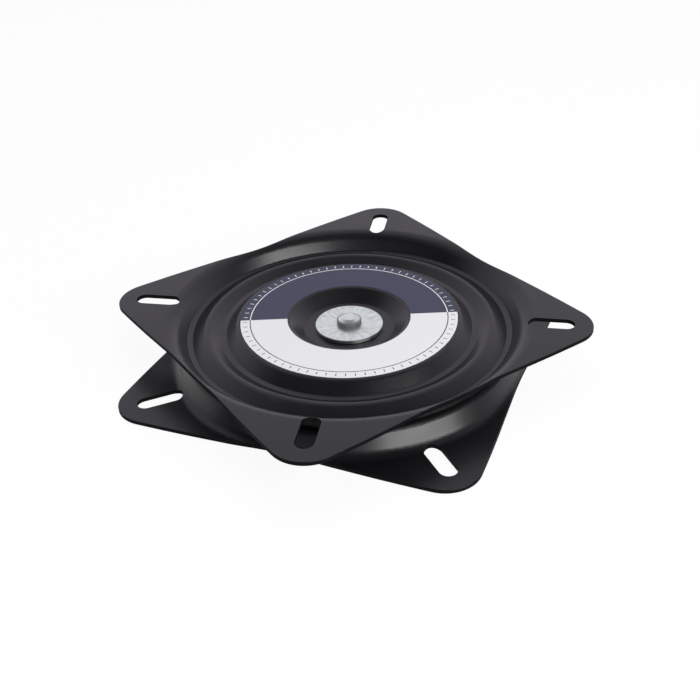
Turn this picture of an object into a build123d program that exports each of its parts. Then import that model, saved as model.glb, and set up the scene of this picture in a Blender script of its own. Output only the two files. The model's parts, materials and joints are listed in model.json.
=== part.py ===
from build123d import *

import os
from math import atan, hypot, radians, sqrt, tan

# Swivel seat base: two identical square steel pressings, face to face, that turn on a
# nylon runner ring and a central rivet. Millimetres, +Z up, origin on the pivot axis at
# the underside of the lower plate. The lower plate's diagonals lie along X and Y.

# Pressed plates
plate_side = 175.0
corner_radius = 16.8
sheet = 2.0
edge_round = 0.4
slot_length = 22.0
slot_width = 8.5
slot_setback = 19.6  # corner tip to slot centre
rest_turn = -33.25  # upper plate against the lower one, degrees

# Drawing the dish pulls the middle of each side in
draw_in = 1.4
straight_run = 3.7  # end of a corner's arc to the start of the drawn-in stretch

# Section of a pressing, from its outer fold inwards, measured on the outer face
fold_inset = 2.5  # straight side to the fold, at the side's middle
fold_radius = 9.0
draw_depth = 9.0
wall_run = 6.1
ledge_width = 2.3
ledge_bend = 2.0  # from the wall into the ledge
bead_half_width = 7.5  # crest to outer foot
bead_flank = 30.0  # degrees
bead_crest = 4.0  # radius over the bead's crest
valley_width = 2.8
valley_rise = 0.8  # ledge up to the valley floor
plateau_rise = 5.9
plateau_wall_run = 5.85
plateau_bend = 3.5  # over the plateau's outer edge
dish_wall_run = 7.0
bend_inside = 0.8

# Runner ring between the plates
runner_gap = 2.1  # clear height between the plates beside the runner
runner_clearance = 0.1
runner_edge = 0.4

# Pivot
thrust_thickness = 2.6
thrust_radius = 14.0
shank_radius = 4.5
shank_clearance = 0.06
running_clearance = 0.05
washer_radius = 16.6
washer_thickness = 2.0
washer_edge = 0.4
washer_margin = 5.4  # washer rim to the foot of the dish wall
formed_head_radius = 6.0
formed_head_height = 3.6
formed_shoulder_height = 2.2
formed_top_radius = 3.35
formed_head_edge = 0.7
rivet_head_radius = 8.5
rivet_head_height = 3.0
rivet_head_edge = 1.8

# Label
label_thickness = 0.15
label_margin = 0.1

# Heights worked out from the sizes above
height = 2 * (draw_depth + sheet) + runner_gap
centre_gap = thrust_thickness + running_clearance
dish_depth = (height - centre_gap) / 2 - sheet
plateau_depth = draw_depth - plateau_rise
valley_depth = draw_depth - valley_rise
upper_floor = height - dish_depth
upper_washer_base = upper_floor + running_clearance
upper_washer_top = upper_washer_base + washer_thickness
lower_washer_base = dish_depth - washer_thickness

# Radii worked out from the sizes above
flank = radians(bead_flank)
half_side = plate_side / 2
virtual_corner = half_side * sqrt(2)
tip_radius = virtual_corner - corner_radius * (sqrt(2) - 1)
slot_radius = tip_radius - slot_setback
fold_r = half_side - fold_inset
ledge_outer_r = fold_r - wall_run
bead_outer_r = ledge_outer_r - ledge_width
bead_mid_r = bead_outer_r - bead_half_width
bead_inner_r = bead_mid_r - bead_half_width + valley_rise / tan(flank)
valley_inner_r = bead_inner_r - valley_width
plateau_r = valley_inner_r - plateau_wall_run
dish_floor_r = washer_radius + washer_margin
rim_r = dish_floor_r + dish_wall_run
hole_r = shank_radius + shank_clearance
bend_outside = bend_inside + sheet

# The label keeps clear of the bends at both edges of the plateau
plateau_bend_run = plateau_bend * tan(atan((valley_depth - plateau_depth) / plateau_wall_run) / 2)
rim_bend_run = bend_outside * tan(atan((dish_depth - plateau_depth) / dish_wall_run) / 2)
label_outer_r = plateau_r - plateau_bend_run - label_margin
label_inner_r = rim_r + rim_bend_run + label_margin


def bead(inset):
    """Inner foot, apex and outer foot of the bead, as (radius, depth), an inset below its outer face."""
    foot_shift = inset * tan(flank / 2)
    return [
        (bead_inner_r + foot_shift, valley_depth + inset),
        (bead_mid_r, draw_depth + inset - (bead_half_width - foot_shift) * tan(flank)),
        (bead_outer_r - foot_shift, draw_depth + inset),
    ]


def is_sheared(face):
    """True for a wall of the plate's outline, cut square through the sheet."""
    centre = face.center()
    return hypot(centre.X, centre.Y) > ledge_outer_r and abs(face.normal_at(centre).Z) < 0.01


# Plan of a plate, one side at a time: straight near the corners, drawn in at the middle
bow = half_side - corner_radius - straight_run
with BuildSketch() as side_wedge:
    with BuildLine():
        Line((0, 0), (half_side, -half_side))
        Line((half_side, -half_side), (half_side, -bow))
        TangentArc((half_side, -bow), (half_side - draw_in / 2, -bow / 2), tangent=(0, 1))
        ThreePointArc(
            (half_side - draw_in / 2, -bow / 2),
            (half_side - draw_in, 0),
            (half_side - draw_in / 2, bow / 2),
        )
        TangentArc((half_side, bow), (half_side - draw_in / 2, bow / 2), tangent=(0, -1))
        Line((half_side, bow), (half_side, half_side))
        Line((half_side, half_side), (0, 0))
    make_face()

with BuildSketch() as plan:
    with PolarLocations(0, 4, start_angle=45):
        add(side_wedge.sketch)
    fillet(plan.vertices().group_by(SortBy.DISTANCE)[-1], corner_radius)

# Lower plate: the section is turned about the pivot, trimmed to the plan and slotted
section = [
    (hole_r, dish_depth),
    (dish_floor_r, dish_depth),
    (rim_r, plateau_depth),
    (plateau_r, plateau_depth),
    (valley_inner_r, valley_depth),
    *bead(0),
    (ledge_outer_r, draw_depth),
    (fold_r, 0),
    (virtual_corner, 0),
]
section_radii = [
    bend_inside,
    bend_outside,
    plateau_bend,
    bend_inside,
    bend_inside,
    bead_crest,
    bend_inside,
    ledge_bend,
    fold_radius,
]
with BuildPart() as lower_plate:
    with BuildSketch(Plane.XZ):
        with BuildLine():
            FilletPolyline(*section, radius=section_radii)
            offset(amount=sheet, side=Side.LEFT)
        make_face()
    revolve(axis=Axis.Z)
    with BuildSketch():
        add(plan.sketch)
    extrude(amount=height, mode=Mode.INTERSECT)
    sheared_walls = lower_plate.faces().filter_by(is_sheared)
    fillet(sheared_walls.edges().filter_by(Axis.Z, reverse=True), edge_round)
    with BuildSketch():
        with PolarLocations(slot_radius, 4):
            SlotOverall(slot_length, slot_width)
    extrude(amount=height, mode=Mode.SUBTRACT)
lower_plate.part.label = "lower_plate"

# Upper plate: the same pressing turned over
with BuildPart() as upper_plate:
    with Locations(Location((0, 0, height), (180, 0, -rest_turn))):
        add(lower_plate.part)
upper_plate.part.label = "upper_plate"

# Runner ring: fills the round channel between the two beads
runner_inset = sheet + runner_clearance
runner_side = bead(runner_inset)
with BuildPart() as slide_runner:
    with BuildSketch(Plane.XZ):
        with BuildLine():
            FilletPolyline(
                *runner_side,
                *[(r, height - depth) for r, depth in reversed(runner_side)],
                radius=2 * [runner_edge, bead_crest - runner_inset, runner_edge],
                close=True,
            )
        make_face()
    revolve(axis=Axis.Z)
slide_runner.part.label = "slide_runner"

# Thrust washer between the two dish floors
with BuildPart() as thrust_washer:
    with BuildSketch(Plane.XY.offset(dish_depth + sheet)):
        Circle(thrust_radius)
        Circle(hole_r, mode=Mode.SUBTRACT)
    extrude(amount=thrust_thickness)
thrust_washer.part.label = "thrust_washer"


def plated_washer(base, label):
    """Flat steel washer with its rims broken, standing on a height."""
    with BuildPart() as washer:
        with BuildSketch(Plane.XY.offset(base)):
            Circle(washer_radius)
            Circle(hole_r, mode=Mode.SUBTRACT)
        extrude(amount=washer_thickness)
        fillet(washer.edges().filter_by(GeomType.CIRCLE).group_by(SortBy.RADIUS)[-1], washer_edge)
    washer.part.label = label
    return washer


lower_washer = plated_washer(lower_washer_base, "lower_washer")
upper_washer = plated_washer(upper_washer_base, "upper_washer")

# Rivet: its own head below, its formed end above
with BuildPart() as pivot_rivet:
    with BuildSketch(Plane.XY.offset(lower_washer_base)):
        Circle(rivet_head_radius)
    extrude(amount=-rivet_head_height)
    fillet(pivot_rivet.edges().sort_by(Axis.Z)[0], rivet_head_edge)
    with BuildSketch(Plane.XY.offset(lower_washer_base)):
        Circle(shank_radius)
    extrude(amount=upper_washer_top - lower_washer_base)
    with BuildSketch(Plane.XY.offset(upper_washer_top)):
        Circle(formed_head_radius)
    extrude(amount=formed_shoulder_height)
    with Locations((0, 0, upper_washer_top + formed_shoulder_height)):
        Cone(
            formed_head_radius,
            formed_top_radius,
            formed_head_height - formed_shoulder_height,
            align=(Align.CENTER, Align.CENTER, Align.MIN),
        )
    formed_rims = pivot_rivet.edges().filter_by(GeomType.CIRCLE).sort_by(Axis.Z)[-2:]
    fillet(formed_rims, formed_head_edge)
pivot_rivet.part.label = "pivot_rivet"

# Label: thin printed ring on the upper plate's plateau
with BuildPart() as label:
    with BuildSketch(Plane.XY.offset(height - plateau_depth)):
        Circle(label_outer_r)
        Circle(label_inner_r, mode=Mode.SUBTRACT)
    extrude(amount=label_thickness)
label.part.label = "label"

os.makedirs("parts", exist_ok=True)
pieces = [
    lower_plate,
    upper_plate,
    slide_runner,
    thrust_washer,
    lower_washer,
    upper_washer,
    pivot_rivet,
    label,
]
for piece in pieces:
    export_step(piece.part, f"parts/{piece.part.label}.step")
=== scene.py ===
import json
import math

import bmesh
import bpy
from mathutils import Matrix, Vector

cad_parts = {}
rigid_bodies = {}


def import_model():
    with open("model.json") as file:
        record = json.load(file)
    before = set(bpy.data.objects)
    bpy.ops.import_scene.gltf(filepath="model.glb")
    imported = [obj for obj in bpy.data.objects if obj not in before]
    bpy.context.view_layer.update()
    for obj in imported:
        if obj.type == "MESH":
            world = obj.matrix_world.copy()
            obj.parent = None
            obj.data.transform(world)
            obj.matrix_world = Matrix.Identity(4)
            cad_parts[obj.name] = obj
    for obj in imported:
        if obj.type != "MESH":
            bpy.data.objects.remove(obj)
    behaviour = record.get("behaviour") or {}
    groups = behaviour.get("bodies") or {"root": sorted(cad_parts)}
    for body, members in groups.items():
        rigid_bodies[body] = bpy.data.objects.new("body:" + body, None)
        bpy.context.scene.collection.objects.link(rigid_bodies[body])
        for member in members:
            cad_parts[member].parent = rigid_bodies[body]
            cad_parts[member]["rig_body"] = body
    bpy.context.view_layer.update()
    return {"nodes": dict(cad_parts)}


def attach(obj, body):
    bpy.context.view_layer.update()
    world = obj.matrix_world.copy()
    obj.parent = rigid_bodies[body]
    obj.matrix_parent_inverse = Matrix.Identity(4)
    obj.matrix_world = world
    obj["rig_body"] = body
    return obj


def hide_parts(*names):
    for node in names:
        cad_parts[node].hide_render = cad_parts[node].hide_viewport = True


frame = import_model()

# Dresses the swivel seat base: two black coated pressings, a plated rivet and washers,
# nylon between the plates and a printed ring on the upper plate.
# Lengths are metres, written as millimetres times MM. Angles are degrees.
MM = 0.001

scene = bpy.context.scene
scene.view_settings.view_transform = "Standard"

# Camera, about the pivot
view_azimuth = -22.095
view_elevation = 33.022
view_roll = -2.318
view_distance = 520.147 * MM
aim_right = -0.206 * MM
aim_up = 1.224 * MM
lens_per_width = 1.4876
sensor_width = 36.0

# Brightness of the sweep by the angle up from the floor behind and on overhead
sweep_levels = [
    (0, 0.8),
    (30, 0.82),
    (40, 0.76),
    (55, 0.74),
    (70, 0.56),
    (85, 0.22),
    (98, 0.03),
    (125, 0.02),
    (180, 0.06),
]

# Heights, as sines, between which the white horizon fades into the sweep
horizon_low = 0.06
horizon_high = 0.14

# Share of the floor that shows plain white, while the rest keeps the object's shadow
floor_white_share = 0.93
floor_size = 10

# A bend sharper than this keeps its edge when a piece is shaded smooth
sharp_bend = 35.0
join_distance = 0.001 * MM

# A pressing's face counts as sheared beyond the fold, where it is steep:
# its normal points up or down by less than this
sheared_steepness = 0.7
sheared_reach = 85.4 * MM

# Rivet's shoulder, painted darker as shade and made rougher: where that starts, is full and ends
shoulder_start_r = 4.9 * MM
shoulder_full_r = 5.6 * MM
shoulder_end_r = 6.05 * MM

# Nearly all of a noise lies between these values
noise_low = 0.3
noise_high = 0.7

# Label print: two fields that meet on a line through the pivot, with a scale round the rim
split_turn = -22.0
tick_count = 72
tick_width = 0.45 * MM
tick_outer_r = 51.6 * MM
tick_inner_r = 49.6 * MM
rim_line_r = 48.2 * MM
rim_line_width = 0.5 * MM


def linear(colour):
    """Linear RGBA of an sRGB hex colour."""
    channels = [int(colour[i : i + 2], 16) / 255 for i in (1, 3, 5)]
    return (*[c / 12.92 if c <= 0.04045 else ((c + 0.055) / 1.055) ** 2.4 for c in channels], 1)


def add_node(tree, kind, inputs=None, **settings):
    """Adds a node with its settings, and sets or links its inputs."""
    new = tree.nodes.new("ShaderNode" + kind)
    for name, value in settings.items():
        setattr(new, name, value)
    for name, value in (inputs or {}).items():
        if isinstance(value, bpy.types.NodeSocket):
            tree.links.new(value, new.inputs[name])
        else:
            new.inputs[name].default_value = value
    return new


def start_finish(name):
    """New material, with its node tree and its shader."""
    material = bpy.data.materials.new(name)
    material.use_nodes = True
    tree = material.node_tree
    return material, tree, tree.nodes["Principled BSDF"]


def is_sheared(face):
    """True for a face cut through the sheet, along a pressing's outline or in a slot."""
    is_steep = abs(face.normal.z) < sheared_steepness
    is_beyond_fold = face.calc_center_median().xy.length > sheared_reach
    return is_steep and is_beyond_fold


def joined_copy(node):
    """Copy of a CAD node with its triangles joined, so that its bends shade smoothly."""
    source = frame["nodes"][node]
    bm = bmesh.new()
    bm.from_mesh(source.data)
    bmesh.ops.remove_doubles(bm, verts=bm.verts, dist=join_distance)
    for face in bm.faces:
        face.smooth = True
        face.material_index = 1 if is_sheared(face) else 0
    for edge in bm.edges:
        edge.smooth = edge.calc_face_angle(math.pi) < math.radians(sharp_bend)
    mesh = bpy.data.meshes.new(node + "_finish")
    bm.to_mesh(mesh)
    bm.free()
    piece = bpy.data.objects.new(node + "_finish", mesh)
    scene.collection.objects.link(piece)
    weights = piece.modifiers.new("weighted normals", "WEIGHTED_NORMAL")
    weights.mode = "FACE_AREA"
    weights.keep_sharp = True
    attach(piece, source["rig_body"])
    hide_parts(node)
    return piece


def black_powder_coat(name, colour, glossiest, dullest, specular):
    """Baked black powder coat: semi-gloss, with a fine orange peel and a few dull patches."""
    material, tree, shader = start_finish(name)
    place = add_node(tree, "TexCoord").outputs["Object"]
    patch_size = 26 * MM
    patches = add_node(tree, "TexNoise", {"Vector": place, "Scale": 1 / patch_size, "Detail": 3})
    gloss = add_node(
        tree,
        "MapRange",
        {
            "Value": patches.outputs["Fac"],
            "From Min": noise_low,
            "From Max": noise_high,
            "To Min": glossiest,
            "To Max": dullest,
        },
    )
    peel_size = 1.1 * MM
    peel_depth = 0.03 * MM
    peel = add_node(tree, "TexNoise", {"Vector": place, "Scale": 1 / peel_size, "Detail": 1})
    bump = add_node(tree, "Bump", {"Strength": 0.6, "Distance": peel_depth, "Height": peel.outputs["Fac"]})
    shader.inputs["Base Color"].default_value = linear(colour)
    shader.inputs["IOR"].default_value = 1.5
    shader.inputs["Specular IOR Level"].default_value = specular
    tree.links.new(gloss.outputs["Result"], shader.inputs["Roughness"])
    tree.links.new(bump.outputs["Normal"], shader.inputs["Normal"])
    return material


def bright_zinc_plate():
    """Bright zinc plate on stamped steel: pale cool metal, streaked outwards where the rivet was set."""
    material, tree, shader = start_finish("bright zinc plate")
    place = add_node(tree, "TexCoord").outputs["Object"]
    axes = add_node(tree, "SeparateXYZ", {"Vector": place})
    angle = add_node(tree, "Math", {0: axes.outputs["Y"], 1: axes.outputs["X"]}, operation="ARCTAN2")
    flat = add_node(tree, "CombineXYZ", {"X": axes.outputs["X"], "Y": axes.outputs["Y"]})
    radius = add_node(tree, "VectorMath", {0: flat.outputs["Vector"]}, operation="LENGTH")
    streaks_per_radian = 11
    streak_length = 5 * MM
    across = add_node(tree, "Math", {0: angle.outputs["Value"], 1: streaks_per_radian}, operation="MULTIPLY")
    along = add_node(tree, "Math", {0: radius.outputs["Value"], 1: streak_length}, operation="DIVIDE")
    height = add_node(tree, "Math", {0: axes.outputs["Z"], 1: streak_length}, operation="DIVIDE")
    polar = add_node(
        tree,
        "CombineXYZ",
        {"X": across.outputs["Value"], "Y": along.outputs["Value"], "Z": height.outputs["Value"]},
    )
    streaks = add_node(tree, "TexNoise", {"Vector": polar.outputs["Vector"], "Scale": 1, "Detail": 3})
    dent_size = 2.4 * MM
    dents = add_node(tree, "TexNoise", {"Vector": place, "Scale": 1 / dent_size, "Detail": 2})
    dent_share = 0.35
    marks = add_node(
        tree,
        "Mix",
        {0: dent_share, 2: streaks.outputs["Fac"], 3: dents.outputs["Fac"]},
        data_type="FLOAT",
    )
    tone = add_node(tree, "ValToRGB", {"Fac": marks.outputs[0]})
    dull, bright = tone.color_ramp.elements
    dull.position = 0.35
    dull.color = linear("#dae4de")
    bright.position = 0.6
    bright.color = linear("#f6fef6")
    dullest = 0.44
    glossiest = 0.32
    gloss = add_node(
        tree,
        "MapRange",
        {
            "Value": marks.outputs[0],
            "From Min": noise_low,
            "From Max": noise_high,
            "To Min": dullest,
            "To Max": glossiest,
        },
    )

    # The rivet's shoulder gets painted shade, a darker colour, and a higher roughness
    outwards = add_node(
        tree,
        "MapRange",
        {"Value": radius.outputs["Value"], "From Min": shoulder_start_r, "From Max": shoulder_full_r},
    )
    on_rivet = add_node(
        tree, "Math", {0: radius.outputs["Value"], 1: shoulder_end_r}, operation="LESS_THAN"
    )
    shoulder_shade_and_roughness = add_node(
        tree,
        "Math",
        {0: outwards.outputs["Result"], 1: on_rivet.outputs["Value"]},
        operation="MULTIPLY",
    )
    # Painted shade: the shoulder's colour is darkened to #a9aeae
    skin = add_node(
        tree,
        "Mix",
        {0: shoulder_shade_and_roughness.outputs["Value"], 6: tone.outputs["Color"], 7: linear("#a9aeae")},
        data_type="RGBA",
    )
    shoulder_roughness = 0.6
    dulled = add_node(
        tree,
        "Mix",
        {0: shoulder_shade_and_roughness.outputs["Value"], 2: gloss.outputs["Result"], 3: shoulder_roughness},
        data_type="FLOAT",
    )
    mark_depth = 0.06 * MM
    bump = add_node(tree, "Bump", {"Strength": 0.5, "Distance": mark_depth, "Height": marks.outputs[0]})
    shader.inputs["Metallic"].default_value = 1.0
    tree.links.new(skin.outputs[2], shader.inputs["Base Color"])
    tree.links.new(dulled.outputs[0], shader.inputs["Roughness"])
    tree.links.new(bump.outputs["Normal"], shader.inputs["Normal"])
    return material


def black_nylon():
    """Moulded black nylon: dull, with the faint mottle of a spark-eroded mould."""
    material, tree, shader = start_finish("black nylon")
    place = add_node(tree, "TexCoord").outputs["Object"]
    mottle_size = 0.9 * MM
    mottle = add_node(tree, "TexNoise", {"Vector": place, "Scale": 1 / mottle_size, "Detail": 2})
    glossiest = 0.45
    dullest = 0.6
    gloss = add_node(
        tree, "MapRange", {"Value": mottle.outputs["Fac"], "To Min": glossiest, "To Max": dullest}
    )
    mottle_depth = 0.03 * MM
    bump = add_node(
        tree, "Bump", {"Strength": 0.3, "Distance": mottle_depth, "Height": mottle.outputs["Fac"]}
    )
    shader.inputs["Base Color"].default_value = linear("#1c1c1f")
    shader.inputs["IOR"].default_value = 1.53
    tree.links.new(gloss.outputs["Result"], shader.inputs["Roughness"])
    tree.links.new(bump.outputs["Normal"], shader.inputs["Normal"])
    return material


def printed_film():
    """Matt printed film: a slate field and a pale one, each with ticks and a line in the other's ink."""
    material, tree, shader = start_finish("printed film")
    place = add_node(tree, "TexCoord").outputs["Object"]
    axes = add_node(tree, "SeparateXYZ", {"Vector": place})
    flat = add_node(tree, "CombineXYZ", {"X": axes.outputs["X"], "Y": axes.outputs["Y"]})
    radius = add_node(tree, "VectorMath", {0: flat.outputs["Vector"]}, operation="LENGTH").outputs["Value"]
    angle = add_node(tree, "Math", {0: axes.outputs["Y"], 1: axes.outputs["X"]}, operation="ARCTAN2")

    # Distance along the rim to the nearest tick
    turns = add_node(
        tree, "Math", {0: angle.outputs["Value"], 1: tick_count / math.tau}, operation="MULTIPLY"
    )
    nearest = add_node(tree, "Math", {0: turns.outputs["Value"], 1: 0.5}, operation="PINGPONG")
    tick_pitch = math.tau * tick_outer_r / tick_count
    aside = add_node(tree, "Math", {0: nearest.outputs["Value"], 1: tick_pitch}, operation="MULTIPLY")
    on_tick = add_node(tree, "Math", {0: aside.outputs["Value"], 1: tick_width / 2}, operation="LESS_THAN")
    tick_mid_r = (tick_outer_r + tick_inner_r) / 2
    in_band = add_node(
        tree,
        "Math",
        {0: radius, 1: tick_mid_r, 2: (tick_outer_r - tick_inner_r) / 2},
        operation="COMPARE",
    )
    ticks = add_node(
        tree, "Math", {0: on_tick.outputs["Value"], 1: in_band.outputs["Value"]}, operation="MULTIPLY"
    )

    # Line right round
    rim_line = add_node(tree, "Math", {0: radius, 1: rim_line_r, 2: rim_line_width / 2}, operation="COMPARE")
    print_mask = add_node(
        tree,
        "Math",
        {0: ticks.outputs["Value"], 1: rim_line.outputs["Value"]},
        operation="ADD",
        use_clamp=True,
    )

    # Which side of the split a point lies on, with its ink swapped on the print
    split = math.radians(split_turn)
    across = add_node(
        tree,
        "VectorMath",
        {0: flat.outputs["Vector"], 1: (-math.sin(split), math.cos(split), 0)},
        operation="DOT_PRODUCT",
    )
    slate_side = add_node(tree, "Math", {0: across.outputs["Value"], 1: 0.0}, operation="GREATER_THAN")
    swapped = add_node(
        tree, "Math", {0: slate_side.outputs["Value"], 1: print_mask.outputs["Value"]}, operation="SUBTRACT"
    )
    is_slate = add_node(tree, "Math", {0: swapped.outputs["Value"]}, operation="ABSOLUTE")
    ink = add_node(
        tree,
        "Mix",
        {0: is_slate.outputs["Value"], 6: linear("#dcdddd"), 7: linear("#3f4253")},
        data_type="RGBA",
    )
    fibre_size = 0.7 * MM
    fibre = add_node(tree, "TexNoise", {"Vector": place, "Scale": 1 / fibre_size, "Detail": 2})
    glossiest = 0.5
    dullest = 0.6
    gloss = add_node(
        tree, "MapRange", {"Value": fibre.outputs["Fac"], "To Min": glossiest, "To Max": dullest}
    )
    fibre_depth = 0.02 * MM
    bump = add_node(
        tree, "Bump", {"Strength": 0.15, "Distance": fibre_depth, "Height": fibre.outputs["Fac"]}
    )
    matt_specular = 0.2
    shader.inputs["Specular IOR Level"].default_value = matt_specular
    tree.links.new(ink.outputs[2], shader.inputs["Base Color"])
    tree.links.new(gloss.outputs["Result"], shader.inputs["Roughness"])
    tree.links.new(bump.outputs["Normal"], shader.inputs["Normal"])
    return material


def place_camera():
    """Camera at the photograph's place, aimed a little off the pivot."""
    turn = (
        Matrix.Rotation(math.radians(view_azimuth), 3, "Z")
        @ Matrix.Rotation(math.radians(90 - view_elevation), 3, "X")
        @ Matrix.Rotation(math.radians(view_roll), 3, "Z")
    )
    camera = bpy.data.objects.new("camera", bpy.data.cameras.new("camera"))
    camera.data.sensor_width = sensor_width
    camera.data.lens = sensor_width * lens_per_width
    camera.matrix_world = (
        Matrix.Translation(turn @ Vector((aim_right, aim_up, view_distance))) @ turn.to_4x4()
    )
    scene.collection.objects.link(camera)
    scene.camera = camera


def from_camera(azimuth, elevation):
    """Direction from the pivot, its azimuth counted to the right of the camera's side."""
    a = math.radians(view_azimuth + azimuth)
    e = math.radians(elevation)
    return Vector((math.sin(a) * math.cos(e), -math.cos(a) * math.cos(e), math.sin(e)))


def hang_softbox(name, azimuth, elevation, distance, width, height, radiance, in_gloss=True):
    """Soft rectangular lamp facing the pivot, which a glossy surface may show or not."""
    back = from_camera(azimuth, elevation)
    lamp = bpy.data.lights.new(name, "AREA")
    lamp.shape = "RECTANGLE"
    lamp.size = width
    lamp.size_y = height
    lamp.energy = radiance * math.pi * width * height
    holder = bpy.data.objects.new(name, lamp)
    holder.location = back * distance
    holder.rotation_euler = back.to_track_quat("Z", "Y").to_euler()
    holder.visible_glossy = in_gloss
    scene.collection.objects.link(holder)
    return holder


def aim_lamp(lamp, pieces, link_state):
    """Has a lamp light only these pieces, with INCLUDE, or all but them, with EXCLUDE."""
    aimed = bpy.data.collections.new(lamp.name + " pieces")
    for piece in pieces:
        aimed.objects.link(piece)
    for entry in aimed.collection_objects:
        entry.light_linking.link_state = link_state
    lamp.light_linking.receiver_collection = aimed


def pale_sweep():
    """Pale sweep from the floor behind the object up overhead, fading to a dark ceiling over the camera."""
    world = bpy.data.worlds.new("pale sweep")
    scene.world = world
    world.use_nodes = True
    tree = world.node_tree
    way = add_node(tree, "TexCoord").outputs["Generated"]
    up = add_node(tree, "SeparateXYZ", {"Vector": way}).outputs["Z"]
    behind = add_node(tree, "VectorMath", {0: way, 1: from_camera(180, 0)}, operation="DOT_PRODUCT")
    arc = add_node(tree, "Math", {0: up, 1: behind.outputs["Value"]}, operation="ARCTAN2")
    half_turn = add_node(tree, "Math", {0: arc.outputs["Value"], 1: math.pi}, operation="DIVIDE")
    brightness = add_node(tree, "ValToRGB", {"Fac": half_turn.outputs["Value"]})
    brightness.color_ramp.interpolation = "EASE"
    stops = brightness.color_ramp.elements
    stops[0].position = 0
    stops[1].position = 1
    for angle, level in sweep_levels:
        stop = stops.new(angle / 180)
        stop.color = (level, level, level, 1)
    stops.remove(stops[0])
    stops.remove(stops[len(stops) - 1])
    horizon = add_node(
        tree,
        "MapRange",
        {"Value": up, "From Min": horizon_low, "From Max": horizon_high, "To Min": 1.0, "To Max": 0.0},
        interpolation_type="SMOOTHSTEP",
    )
    level = add_node(
        tree, "Math", {0: brightness.outputs["Color"], 1: horizon.outputs["Result"]}, operation="MAXIMUM"
    )
    tint = add_node(
        tree,
        "Mix",
        {0: horizon.outputs["Result"], 6: linear("#f8f3ff"), 7: linear("#ffffff")},
        data_type="RGBA",
    )
    back = tree.nodes["Background"]
    tree.links.new(tint.outputs[2], back.inputs["Color"])
    tree.links.new(level.outputs["Value"], back.inputs["Strength"])


def white_floor():
    """White floor that keeps the object's shadow."""
    bm = bmesh.new()
    bmesh.ops.create_grid(bm, x_segments=1, y_segments=1, size=floor_size)
    mesh = bpy.data.meshes.new("floor")
    bm.to_mesh(mesh)
    bm.free()
    floor = bpy.data.objects.new("floor", mesh)
    scene.collection.objects.link(floor)
    material, tree, shader = start_finish("white paper")
    shader.inputs["Base Color"].default_value = linear("#f4f4f4")
    shader.inputs["Roughness"].default_value = 0.9
    path = add_node(tree, "LightPath")
    seen_or_mirrored = add_node(
        tree,
        "Math",
        {0: path.outputs["Is Camera Ray"], 1: path.outputs["Is Glossy Ray"]},
        operation="MAXIMUM",
    )
    seen = add_node(
        tree,
        "Math",
        {0: seen_or_mirrored.outputs["Value"], 1: path.outputs["Is Transmission Ray"]},
        operation="MAXIMUM",
    )
    white = add_node(tree, "Emission", {"Strength": 1.0})
    lifted = add_node(
        tree, "MixShader", {0: floor_white_share, 1: shader.outputs[0], 2: white.outputs[0]}
    )
    shown = add_node(
        tree, "MixShader", {0: seen.outputs["Value"], 1: shader.outputs[0], 2: lifted.outputs[0]}
    )
    tree.links.new(shown.outputs[0], tree.nodes["Material Output"].inputs["Surface"])
    floor.data.materials.append(material)


def dress(finishes, nodes):
    """Gives joined copies of CAD nodes their finish, and a second one where the sheet is sheared."""
    pieces = [joined_copy(node) for node in nodes]
    for piece in pieces:
        for finish in finishes:
            piece.data.materials.append(finish)
    return pieces


# Sheared edges get a darker coat that barely reflects: painted shade standing in for the dark reflection
# along the cut edges
face_coat = black_powder_coat("black powder coat", "#131215", glossiest=0.27, dullest=0.33, specular=0.5)
sheared_edge_shade_coat = black_powder_coat(
    "black powder coat with edge shade", "#0d0d0f", glossiest=0.6, dullest=0.7, specular=0.05
)
dress([face_coat, sheared_edge_shade_coat], ["lower_plate", "upper_plate"])
plated = dress([bright_zinc_plate()], ["lower_washer", "upper_washer", "pivot_rivet"])
dress([black_nylon()], ["slide_runner", "thrust_washer"])
dress([printed_film()], ["label"])

place_camera()
key_place = {"azimuth": 42, "elevation": 31.5, "distance": 1.2, "width": 0.94, "height": 0.57}
key = hang_softbox("key", **key_place, radiance=6.8)
# Bright plate would clip under the key, so it has a weaker one in the same place
plate_key = hang_softbox("plate key", **key_place, radiance=1.3)
aim_lamp(key, plated, "EXCLUDE")
aim_lamp(plate_key, plated, "INCLUDE")
hang_softbox(
    "overhead", azimuth=180, elevation=78, distance=1.2, width=1.0, height=1.0, radiance=2.1, in_gloss=False
)
pale_sweep()
white_floor()
